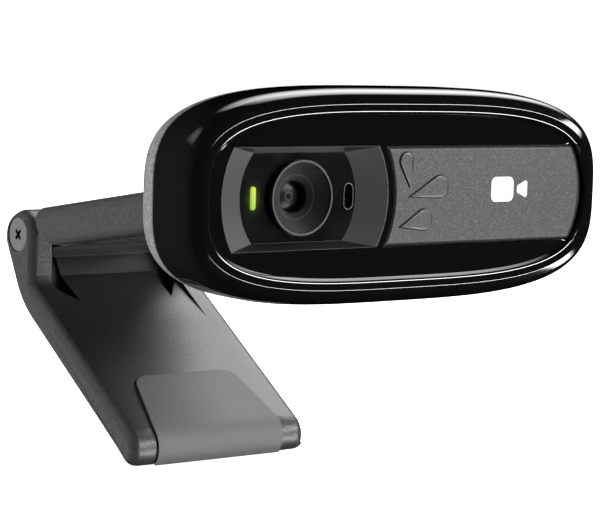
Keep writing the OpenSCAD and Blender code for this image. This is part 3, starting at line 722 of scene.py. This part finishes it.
carve(arm, [across("pin_bore", 1.45, (0, 0), -clip_half, clip_half, arm_at),
            prism("grip_recess", grip_recess, arm_at, arm_low - 1, arm_low + 0.7),
            prism("post_hole", post_hole, arm_at, -8, 8),
            prism("washer_hole", washer_hole, arm_at, -8, 0.4)])
soften(arm, 0.15, 2, 55, 45)
clip_plastic = moulded("clip_plastic", (0.03, 0.03, 0.0315), 0.38, 3.6, 0.05, 0.4)
fitted(arm, clip_plastic, "arm", "clip_plastic", "arm")


# Leg: the lower half of the clip, moulded in the same grained plastic. Two ears hold
# the hinge, a tongue stands between two slots, and its sides are round.
# The rubber pad's bed is sunk in the front and the nose of its foot.
leg_front = 4.2
leg_t = 4.2
leg_back = leg_front + leg_t
leg_len = 46.2
ear_in = 12.3
nose_r = 3.6
nose_u = leg_len - nose_r
bend_r = 15.5
foot_from = 31.3
foot_top = 9.2
foot_end = 11.7
pad_proud = 0.35
pad_sunk = 0.7
slot_w = 3.5
slot_to = 12.0
slot_slant = 5.0
slot_wall = 1.0
cap_r = 2.75
seat_x = clip_half - 1.4


def nose_arc(grow):
    """The foot's nose from its front round to its back, as (u, p)."""
    r = nose_r + grow
    last = 180 + degrees(asin((leg_t - nose_r) / r))
    return [(-a, b) for a, b in arc(-nose_u, -leg_front - nose_r, r, 90, last, 20)]


bend_turn = radians(28)
bend_v = leg_back - bend_r
bend_u = ((ear_r - bend_r) - bend_v * cos(bend_turn)) / sin(bend_turn)


def bend_arc(r):
    return [(-a, b) for a, b in arc(bend_u, -bend_v, r, -90, -62, 14)]


def leg_outline():
    """Side of the leg with its ears, as (u, p)."""
    bend = bend_arc(bend_r)
    ear = [(-a, b) for a, b in arc(0, 0, ear_r, -58, 147, 50)]
    foot = (ear_r + leg_front * sin(leg_slope)) / cos(leg_slope)
    toe = fillet([ear[-1], (foot, -leg_front), (nose_u, -leg_front)], [0, 2.5, 0], 8, False)
    return bend + ear + toe[1:-1] + nose_arc(0)


def drawn_in(outline, inset, back_share):
    """The outline moved inwards along its own normals, and less so at the back."""
    n = len(outline)
    area = sum(outline[i - 1][0] * outline[i][1] - outline[i][0] * outline[i - 1][1] for i in range(n))
    sign = 1 if area > 0 else -1
    out = []
    for i in range(n):
        before, here, after = (Vector(outline[k % n]) for k in (i - 1, i, i + 1))
        to, away = (here - before).normalized(), (after - here).normalized()
        inward = Vector((-(to + away).y, (to + away).x)).normalized() * sign
        share = back_share + (1 - back_share) * (0.5 - 0.5 * inward.y)
        spread = 1 / max(0.6, abs(inward.dot(Vector((-to.y, to.x)))))
        out.append(tuple(here + inward * inset * share * spread))
    return out


leg_side = leg_outline()
side_curve = [(0, 1.75), (0.1, 1.3), (0.32, 0.88), (0.7, 0.5), (1.2, 0.2), (1.75, 0)]
layers = [(-clip_half + x, inset) for x, inset in side_curve]
layers += [(-x, inset) for x, inset in reversed(layers)]
leg = stack("clip_leg", [[leg_at(x, u, p) for u, p in drawn_in(leg_side, inset, 0.25)]
                         for x, inset in layers])


def foot_band(outer, inner, reach):
    """A band over the front and the nose of the foot, as (u, p)."""
    outside, inside = ([(foot_from - 2, -leg_front + grow)] + nose_arc(grow) for grow in (outer, -inner))
    return outside + [(side[-1][0], -leg_back - reach) for side in (outside, inside)] + inside[::-1]


def foot_plan(grow):
    """The rubber's outline seen from the front of the leg, as (x, u)."""
    end = foot_end + grow
    half = [(foot_top + grow, foot_from - grow), (end, leg_len - 3), (end, leg_len + 5)]
    return fillet(half + [(-x, u) for x, u in reversed(half)], [2.6, 5, 0, 0, 5, 2.6], 10)


def foot_piece(name, outer, inner, reach, grow):
    half = clip_half + 1
    band = prism(name, foot_band(outer, inner, reach), side_on(leg_at), -half, half)
    plan = prism("plan", foot_plan(grow), leg_at, -20, 20)
    return carve(band, [plan], "INTERSECT")


tongue_cut = [(slot_to + 6, -leg_front), (ear_r + 0.6, -leg_front - 1), (1.2, -3.6), (-8, -3.6), (-8, 12),
              (foot_from, 12), (foot_from, -leg_front)]
leg_tools = [prism("tongue_cut", tongue_cut, side_on(leg_at), -ear_in, ear_in),
             across("knuckle_room", ear_r + 0.15, (0, 0), -ear_in, ear_in, leg_at, 96),
             across("pin_bore", 1.4, (0, 0), -clip_half - 1, clip_half + 1, leg_at)]
slot_side = bend_arc(bend_r - slot_wall)
slot_top = (slot_side[-1][0] - 6 * cos(bend_turn), slot_side[-1][1] + 6 * sin(bend_turn))
slot_side += [slot_top, (-8, slot_top[1]), (-8, 12), (slot_to + 1, 12), (slot_to + 1, slot_wall - leg_back)]
for side in (-1, 1):
    outer, inner = side * ear_in, side * (ear_in - slot_w)
    gap = [(outer, -20), (inner, -20), (inner, slot_to), (outer, slot_to - slot_slant)]
    slot_cut = prism("tongue_slot", gap, leg_at, -20, 20)
    room = prism("slot_room", slot_side, side_on(leg_at), -clip_half, clip_half)
    leg_tools.append(carve(slot_cut, [room], "INTERSECT"))
    low, high = sorted((side * seat_x, side * (clip_half + 1)))
    leg_tools.append(across("screw_seat", cap_r + 0.1, (0, 0), low, high, leg_at, 64))
leg_tools.append(foot_piece("pad_bed", pad_proud + 1, pad_sunk, 1, 0.12))
carve(leg, leg_tools)
soften(leg, 0.14, 2, 40, 24)
fitted(leg, clip_plastic, "leg", "clip_plastic", "leg")


# Foot pad: soft grey rubber, moulded over the front of the foot and round its nose,
# so that the clip doesn't slip or mark what it leans on.
pad = foot_piece("foot_rubber", pad_proud, pad_sunk - 0.02, 0, 0)
soften(pad, 0.16, 3, 50, 30)
soft_rubber = moulded("soft_rubber", (0.1, 0.103, 0.107), 0.62, 3.0, 0.006, 0.05)
fitted(pad, soft_rubber, "leg", "rubber_grey", "foot_pad")


# Cross-headed screws: one in each ear of the leg, two deep in the back of the head
# and three on the circuit board. Each is a turned steel head with a pressed cross.
def new_tree(name, sizes):
    """A tree with its sizes and its finish as inputs, the outputs of its start, and its end."""
    tree = bpy.data.node_groups.new(name, "GeometryNodeTree")
    tree.interface.new_socket("Geometry", in_out="INPUT", socket_type="NodeSocketGeometry")
    tree.interface.new_socket("Geometry", in_out="OUTPUT", socket_type="NodeSocketGeometry")
    for size in sizes:
        tree.interface.new_socket(size, in_out="INPUT", socket_type="NodeSocketFloat")
    tree.interface.new_socket("Finish", in_out="INPUT", socket_type="NodeSocketMaterial")
    return tree, tree_node(tree, "NodeGroupInput"), tree.nodes.new("NodeGroupOutput")


def tree_math(tree, a, b, operation="MULTIPLY"):
    return tree_node(tree, "ShaderNodeMath", {0: a, 1: b}, operation=operation)["Value"]



def tree_vector(tree, x, y, z):
    return tree_node(tree, "ShaderNodeCombineXYZ", {"X": x, "Y": y, "Z": z})["Vector"]


def lifted(tree, mesh, height, turn=0.0):
    """The mesh raised by a height, and turned about its own axis."""
    rise = tree_vector(tree, 0, 0, height)
    return tree_node(tree, "GeometryNodeTransform", {
        "Geometry": mesh, "Translation": rise, "Rotation": (0, 0, turn)})["Geometry"]


def planted(tree, given, made, mesh):
    """Sets the mesh on every point, turned the way it aims, as one piece with its finish."""
    aim = tree_node(tree, "GeometryNodeInputNamedAttribute", {"Name": "aim"}, data_type="FLOAT_VECTOR")
    turn = tree_node(tree, "FunctionNodeAlignRotationToVector", {"Vector": aim["Attribute"]}, axis="Z")
    spread = tree_node(tree, "GeometryNodeInstanceOnPoints", {
        "Points": given["Geometry"], "Instance": mesh, "Rotation": turn["Rotation"]})
    real = tree_node(tree, "GeometryNodeRealizeInstances", {"Geometry": spread["Instances"]})
    coat = tree_node(tree, "GeometryNodeSetMaterial", {
        "Geometry": real["Geometry"], "Material": given["Finish"]})
    tree.links.new(coat["Geometry"], made.inputs["Geometry"])


screw_sizes = ("Head Radius", "Head Height", "Shank Radius", "Shank Length", "Cross Length", "Cross Width")
screw_tree, size, made = new_tree("cross_screws", screw_sizes)
parts = []
for radius, depth, share in (("Head Radius", "Head Height", 0.5), ("Shank Radius", "Shank Length", -0.49)):
    round_bar = tree_node(screw_tree, "GeometryNodeMeshCylinder", {
        "Vertices": 48, "Radius": size[radius], "Depth": size[depth]})["Mesh"]
    parts.append(lifted(screw_tree, round_bar, tree_math(screw_tree, size[depth], share)))
dimple_r = tree_math(screw_tree, size["Cross Width"], 1.3)
dimple_h = tree_math(screw_tree, size["Head Height"], 0.8)
dimple = tree_node(screw_tree, "GeometryNodeMeshCone", {
    "Vertices": 32, "Radius Top": dimple_r, "Radius Bottom": 0.0, "Depth": dimple_h})["Mesh"]
cross_parts = [lifted(screw_tree, dimple, tree_math(screw_tree, size["Head Height"], 0.3))]
long, short = size["Cross Length"], size["Cross Width"]
for sides in ((long, short), (short, long)):
    bar = tree_node(screw_tree, "GeometryNodeMeshCube", {
        "Size": tree_vector(screw_tree, *sides, size["Head Height"])})["Mesh"]
    cross_parts.append(lifted(screw_tree, bar, size["Head Height"], radians(45)))
union, cross = (screw_tree.nodes.new("GeometryNodeMeshBoolean") for _ in range(2))
union.operation, union.solver, cross.operation, cross.solver = "UNION", "EXACT", "DIFFERENCE", "EXACT"
screw_tree.links.new(union.outputs["Mesh"], cross.inputs["Mesh 1"])
for joint, pieces in ((union, parts), (cross, cross_parts)):
    for part in pieces:
        screw_tree.links.new(part, joint.inputs["Mesh 2"])
planted(screw_tree, size, made, cross.outputs["Mesh"])


def grown(name, tree, points, aims, values, material):
    """Runs a tree on loose points, each with the way it aims, and keeps the plain mesh."""
    mesh = bpy.data.meshes.new(name)
    mesh.from_pydata([Vector(p) * MM for p in points], [], [])
    way = mesh.attributes.new("aim", "FLOAT_VECTOR", "POINT")
    for i, direction in enumerate(aims):
        way.data[i].vector = direction
    piece = bpy.data.objects.new(name, mesh)
    bpy.context.scene.collection.objects.link(piece)
    step = piece.modifiers.new("grow", "NODES")
    step.node_group = tree
    for item in tree.interface.items_tree:
        if item.in_out == "INPUT" and item.name in values:
            step[item.identifier] = values[item.name] * MM
        elif item.in_out == "INPUT" and item.name == "Finish":
            step[item.identifier] = material
    return settle(piece)


def screws(name, points, aims, sizes, material):
    piece = grown(name, screw_tree, points, aims, dict(zip(screw_sizes, sizes)), material)
    return soften(piece, 0.06)


screw_steel = moulded("screw_steel", (0.42, 0.42, 0.43), 0.34, 2.5, 0.004, 0.15, Metallic=1.0)
screw_black = moulded("screw_black", (0.1, 0.1, 0.102), 0.46, 3.2, 0.012, 0.25, Metallic=0.3)
hinge_set = screws("cross_screws_hinge", [leg_at(side * seat_x, 0, 0) for side in (-1, 1)],
                   [(-1, 0, 0), (1, 0, 0)], (cap_r, 1.2, 0.75, 3.5, 2.1, 0.5), screw_black)
# Painted shade: the cross recesses of the ear screws get a near-black copy of the screws' black finish,
# standing in for the shade inside them.
recess_painted_shade = moulded("recess_painted_shade", (0.004, 0.004, 0.004), 0.6, 3.2, 0.004, 0.2)
fitted(hinge_set, [screw_black, recess_painted_shade], "leg", "black_steel", "hinge_screws")
hinge_at = Vector(leg_at(0, 0, 0))
# Faces inside the cross of each ear screw take the copy darkened with painted shade.
for polygon in hinge_set.data.polygons:
    spot = polygon.center / MM - hinge_at
    if seat_x + 0.2 < abs(spot.x) < seat_x + 1.17 and hypot(spot.y, spot.z) < 1.5:
        polygon.material_index = 1
case_set = screws("cross_screws_case", [head_at(x, case_seat, 0) for x in (-post_x, post_x)], [(0, 1, 0)] * 2,
                  (1.75, 1.1, 0.8, 7.6, 2.2, 0.4), screw_black)
fitted(case_set, screw_black, "head", "black_steel", "case_screws")
board_back = board_front + 1
board_set = screws("cross_screws_board", [head_at(x, board_back, z) for x, z in board_posts],
                   [(0, 1, 0)] * 3, (1.5, 0.9, 0.65, 6.5, 1.9, 0.4), screw_steel)
fitted(board_set, screw_steel, "head", "steel", "board_screws")


# Neck: the moulded piece between the head and the arm. Its round base turns on the
# arm, and its eye stands between the lugs of the rear shell.
base_p = arm_top + 0.15
neck = stack("swivel_neck", [[arm_at(r * cos(t), swivel_s + r * sin(t), base_p + up)
                              for t in round_turns(96)]
                             for up, r in ((0, 6.2), (0.2, 6.4), (1.5, 6.4), (1.95, 6.2), (2.2, 5.75))])


def arm_point(s, p):
    point = arm_at(0, s, p)
    return (point[1] - face_y, point[2] - head_z)


web_outline = [(tilt_y, eye_r), (tilt_y, -eye_r), arm_point(swivel_s + arm_end_r + 0.3, base_p + 0.2),
               arm_point(swivel_s - 3, base_p + 0.2), arm_point(swivel_s - 3, base_p + 2.2)]
carve(neck, [prism("web", web_outline, side_on(head_at), -neck_half, neck_half),
             across("eye", eye_r, (tilt_y, 0), -neck_half, neck_half, head_at, 72),
             prism("post", ring(0, swivel_s, 2.4, 72), arm_at, 0.6, base_p + 1)],
      "UNION")
carve(neck, [across("pin_bore", 1.25, (tilt_y, 0), -20, 20, head_at),
             prism("screw_bore", ring(0, swivel_s, 0.85, 18), arm_at, 0, 6)])
soften(neck, 0.2, 3, 50, 40)
neck.data.validate()
neck_plastic = moulded("neck_plastic", (0.03, 0.03, 0.032), 0.4, 3.2, 0.012, 0.15)
fitted(neck, neck_plastic, "neck", "clip_plastic", "neck")


# Grip pad: black rubber under the arm, ribbed across so that it grips a screen's top.
# It is glued in the arm's recess.
rib_tree, given, made = new_tree("ribs", ("Length", "Width", "Height"))
rib_size = tree_vector(rib_tree, given["Length"], given["Width"], given["Height"])
planted(rib_tree, given, made, tree_node(rib_tree, "GeometryNodeMeshCube", {"Size": rib_size})["Mesh"])
black_rubber = moulded("black_rubber", (0.018, 0.018, 0.019), 0.6, 2.5, 0.01, 0.12)
up = Vector(arm_at(0, 0, 1)) - Vector(arm_at(0, 0, 0))
grip_low, grip_high = arm_low - 0.12, arm_low + 0.7
grip = prism("ribbed_grip", corners(-11.9, 11.9, rest_at - 8.9, rest_at + 8.9), arm_at, grip_low, grip_high)
rib_pitch = 1.3
rib_points = [arm_at(0, rest_at + rib_pitch * k, grip_low - 0.065) for k in range(-6, 7)]
ribs = grown("grip_ribs", rib_tree, rib_points, [tuple(up)] * len(rib_points),
             {"Length": 23.0, "Width": 0.7, "Height": 0.33}, black_rubber)
carve(grip, [ribs], "UNION")
soften(grip, 0.05)
fitted(grip, black_rubber, "arm", "rubber_black", "grip_pad")


# Cable grommet: a turned rubber bush that holds the cable where it leaves the back.
# A groove round it grips the shell.
grommet_steps = [(1.75, -3.4), (3.0, -3.4), (3.0, -2.4), (2.35, -2.4), (2.35, 0), (3.3, 0), (3.3, 1.2),
                 (2.6, 1.8), (1.75, 1.8)]
grommet_outline = fillet([(r, grommet_seat + depth) for r, depth in grommet_steps],
                         [0.2, 0.2, 0.1, 0, 0.1, 0.3, 0.4, 0.4, 0.4], 4)
grommet = turned("cable_bush", grommet_outline, grommet_x, 72)
soften(grommet, sharp=45)
fitted(grommet, black_rubber, "head", "rubber_black", "cable_grommet")


# Small parts inside the head and the hinge: lens barrel and holder, glasses, sensor,
# board, chip, connector, light, microphone, pins and washers. They keep their shape
# and get the finish each is made in.
dark_plastic = moulded("dark_plastic", (0.02, 0.02, 0.021), 0.5, 2.5, 0.01, 0.15)
clear_glass = moulded("clear_glass", (0.5, 0.55, 0.62), 0.04, 0.5, 0.0005, 0.05, IOR=1.52)
filter_glass = moulded("filter_glass", (0.25, 0.6, 0.6), 0.06, 0.5, 0.0005, 0.08, IOR=1.52)
sensor_face = moulded("sensor_face", (0.05, 0.08, 0.12), 0.2, 3.0, 0.001, 0.4, Metallic=0.5)
ivory_plastic = moulded("ivory_plastic", (0.68, 0.64, 0.52), 0.45, 2.0, 0.008, 0.05)
led_epoxy = moulded("led_epoxy", (0.55, 0.75, 0.25), 0.25, 1.5, 0.002, 0.1)
brass = moulded("brass", (0.55, 0.42, 0.18), 0.3, 1.5, 0.004, 0.12, Metallic=1.0)
board_green, board_shader, board_where = finish_of("board_green", (0.01, 0.12, 0.05), 0.35, Coat_Weight=0.4)
upright = tree_node(board_where.id_data, "ShaderNodeMapping", {
    "Vector": board_where, "Rotation": (radians(90), 0, 0)})["Vector"]
tracks = tree_node(board_where.id_data, "ShaderNodeTexBrick", {
    "Vector": upright, "Scale": 0.45 / MM, "Mortar Size": 0.03, "Color1": (0.012, 0.13, 0.055, 1),
    "Color2": (0.009, 0.1, 0.042, 1), "Mortar": (0.03, 0.22, 0.09, 1)})["Color"]
link(tracks, board_shader, "Base Color")
kept_nodes = {
    "lens_barrel": dark_plastic, "lens_holder": dark_plastic, "rear_lens": clear_glass,
    "infrared_filter": filter_glass, "image_sensor": sensor_face, "circuit_board": board_green,
    "control_chip": dark_plastic, "cable_connector": ivory_plastic, "status_led": led_epoxy,
    "microphone": screw_steel, "microphone_gasket": black_rubber, "tilt_pin": screw_steel,
    "swivel_screw": screw_steel, "swivel_washer": brass, "hinge_pin": screw_steel, "friction_washers": brass,
}
for name, material in kept_nodes.items():
    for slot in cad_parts[name].material_slots:
        slot.material = material


# Studio: a plain pale floor, soft light from large panels, and the camera.
scene = bpy.context.scene
lowest = min(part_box(name)[0].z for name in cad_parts)
floor_half = 6.0
floor_mesh = bpy.data.meshes.new("studio_floor")
floor_spots = corners(-floor_half, floor_half, -floor_half, floor_half)
floor_mesh.from_pydata([(x, y, lowest - 0.0002) for x, y in floor_spots], [], [(0, 1, 2, 3)])
floor = bpy.data.objects.new("studio_floor", floor_mesh)
scene.collection.objects.link(floor)
pale, pale_shader, pale_where = finish_of("pale_floor", (0.9, 0.9, 0.9), 0.7, Specular_IOR_Level=0.1,
                                           Emission_Color=(1, 1, 1, 1), Emission_Strength=1.0)
link(tinted(grain(pale_where, 0.02), [
    (0.3, (0.885, 0.885, 0.885)), (0.7, (0.905, 0.905, 0.905))]), pale_shader, "Base Color")
floor_mesh.materials.append(pale)
floor.visible_glossy = floor.visible_diffuse = floor.visible_shadow = False

world = bpy.data.worlds.new("studio_air")
scene.world = world
world.use_nodes = True
seen = tree_node(world.node_tree, "ShaderNodeLightPath")["Is Camera Ray"]
strength = tree_node(world.node_tree, "ShaderNodeMix", {"A": 0.07, "B": 1.0, "Factor": seen})["Result"]
air = world.node_tree.nodes["Background"]
world.node_tree.links.new(strength, air.inputs["Strength"])
air.inputs["Color"].default_value = (1, 1, 1, 1)
world.cycles_visibility.glossy = False


def softbox(name, place, target, width, height, power, glossy=True):
    """A panel of light, brightest in its middle and fading to nothing at its edges."""
    data = bpy.data.lights.new(name, "AREA")
    data.shape, data.size, data.size_y, data.energy = "RECTANGLE", width, height, power
    data.use_nodes = True
    tree = data.node_tree
    emission = next(node for node in tree.nodes if node.type == "EMISSION")
    spot = tree_node(tree, "ShaderNodeNewGeometry")["Parametric"]
    sides = tree_node(tree, "ShaderNodeSeparateXYZ", {"Vector": spot})
    falls = []
    for side in ("X", "Y"):
        rest = tree_math(tree, 1.0, sides[side], "SUBTRACT")
        falls.append(tree_math(tree, tree_math(tree, sides[side], rest), 6.0))
    tree.links.new(tree_math(tree, *falls), emission.inputs["Strength"])
    lamp = bpy.data.objects.new(name, data)
    scene.collection.objects.link(lamp)
    lamp.location = place
    lamp.rotation_euler = (Vector(target) - Vector(place)).to_track_quat("-Z", "Y").to_euler()
    lamp.visible_glossy = glossy


softbox("key_panel", (0.58, 0.16, 0.7), (0, 0, -0.01), 1.2, 0.9, 10)
softbox("left_panel", (-0.82, 0.25, -0.08), (0, 0, 0), 0.45, 0.45, 24, glossy=False)
softbox("shoulder_card", (-0.55, 0.25, 0.75), (0, 0, 0), 0.6, 0.5, 0.5)
for name, climb, height, power in (("upper_strip", 14, 0.12, 8), ("lower_strip", -22, 0.1, 7)):
    flat = Vector((0.603, -0.76, 0)).normalized() * cos(radians(climb))
    place = (flat + Vector((0, 0, sin(radians(climb))))) * 0.9
    softbox(name, place, (0, -0.05, 0.01), 0.9, height, power)

azimuth, elevation, roll = radians(37.34), radians(5.74), radians(1.72)
ahead = Vector((sin(azimuth) * cos(elevation), cos(azimuth) * cos(elevation),
                -sin(elevation)))
level = Vector((cos(azimuth), -sin(azimuth), 0))
rise = level.cross(ahead)
right = level * cos(roll) + rise * sin(roll)
upward = rise * cos(roll) - level * sin(roll)
face_middle = Vector(head_at(0, 0, 0)) * MM
camera_data = bpy.data.cameras.new("studio_camera")
camera_data.lens, camera_data.sensor_width = 134.4, 36
camera_data.clip_start = 0.01
camera = bpy.data.objects.new("studio_camera", camera_data)
scene.collection.objects.link(camera)
place = face_middle - ahead * 0.30867 - right * 0.01491 - upward * 0.00844
axes = Matrix((right, upward, -ahead)).transposed().to_4x4()
camera.matrix_world = Matrix.Translation(place) @ axes
scene.camera = camera
scene.view_settings.view_transform = "Standard"
